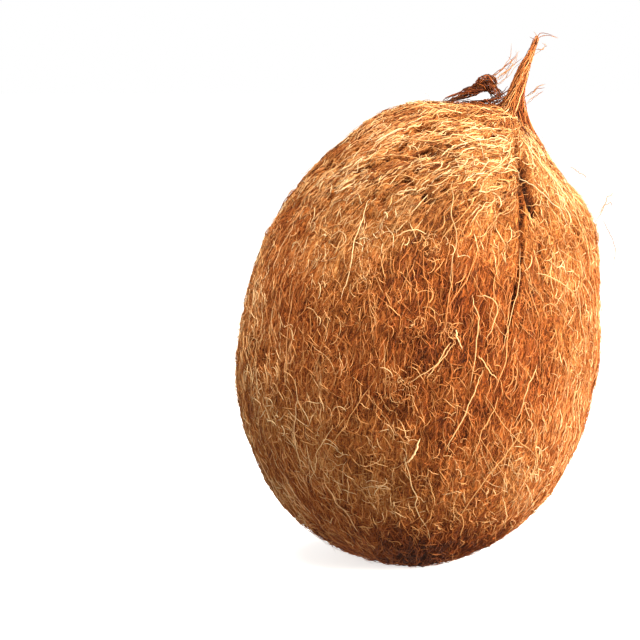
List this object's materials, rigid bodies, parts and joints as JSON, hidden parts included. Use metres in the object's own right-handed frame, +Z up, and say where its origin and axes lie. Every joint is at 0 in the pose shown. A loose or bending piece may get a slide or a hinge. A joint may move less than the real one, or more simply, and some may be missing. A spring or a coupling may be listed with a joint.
{
  "type": "coconut",
  "caption": "Whole brown coconut in its coir fibre coat, a pointed tuft of husk fibre on top, standing on a small flat spot.",
  "frame": {"origin": "middle of the small flat spot that the nut stands on", "axes": "+Z up, +X the way the nut's crown leans, +Y away from the viewer of its front"},
  "size_m": [0.1155, 0.1143, 0.1676],
  "materials": {
    "coir": "matted dry coir fibre, matt golden brown"
  },
  "bodies": {
    "root": {"coconut": "coir"}
  },
  "joints": []
}
